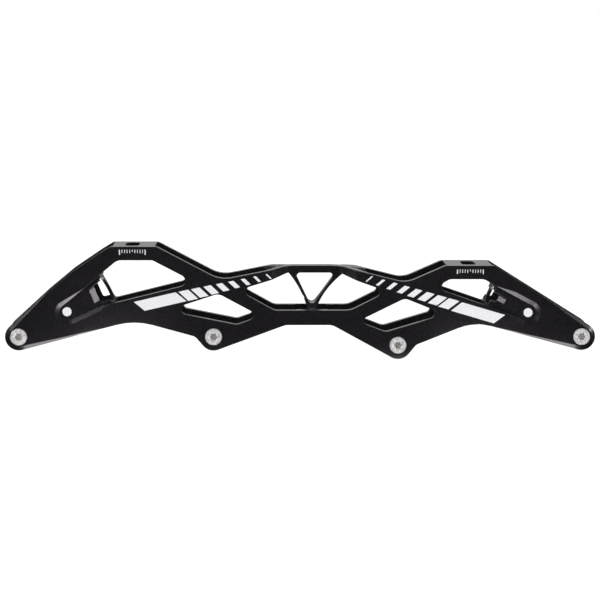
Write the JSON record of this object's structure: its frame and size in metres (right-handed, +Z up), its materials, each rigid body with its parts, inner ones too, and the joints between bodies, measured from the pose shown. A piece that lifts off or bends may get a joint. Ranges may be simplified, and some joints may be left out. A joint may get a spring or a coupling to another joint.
{
  "type": "inline skate frame",
  "caption": "Milled black aluminium inline skate frame: open lattice side walls joined by stepped, slotted boot decks and thin webs, with screw-in wheel axles.",
  "frame": {"origin": "on the floor under the lowest axle lobe's level, half way along the wheelbase and half way across", "axes": "+X from heel to toe, +Y across to the side with the thread inserts, +Z up to the boot"},
  "size_m": [0.3408, 0.033, 0.0651],
  "materials": {
    "black_anodised": "black anodised over a fine bead-blasted grain, satin",
    "bright_steel": "turned and lightly brushed steel",
    "insert_steel": "plain turned steel",
    "white_print": "thin screen-printed white ink, satin"
  },
  "bodies": {
    "frame": {"frame_body": "black_anodised", "rear_insert": "insert_steel", "second_insert": "insert_steel", "third_insert": "insert_steel", "front_insert": "insert_steel"},
    "rear_axle": {"rear_axle": "bright_steel"},
    "second_axle": {"second_axle": "bright_steel"},
    "third_axle": {"third_axle": "bright_steel"},
    "front_axle": {"front_axle": "bright_steel"}
  },
  "joints": [
    {"name": "rear_axle_slide", "type": "slide", "parent": "frame", "child": "rear_axle", "axis": [0, -1, 0], "range_m": [0, 0.045]},
    {"name": "second_axle_slide", "type": "slide", "parent": "frame", "child": "second_axle", "axis": [0, -1, 0], "range_m": [0, 0.045]},
    {"name": "third_axle_slide", "type": "slide", "parent": "frame", "child": "third_axle", "axis": [0, -1, 0], "range_m": [0, 0.045]},
    {"name": "front_axle_slide", "type": "slide", "parent": "frame", "child": "front_axle", "axis": [0, -1, 0], "range_m": [0, 0.045]}
  ]
}
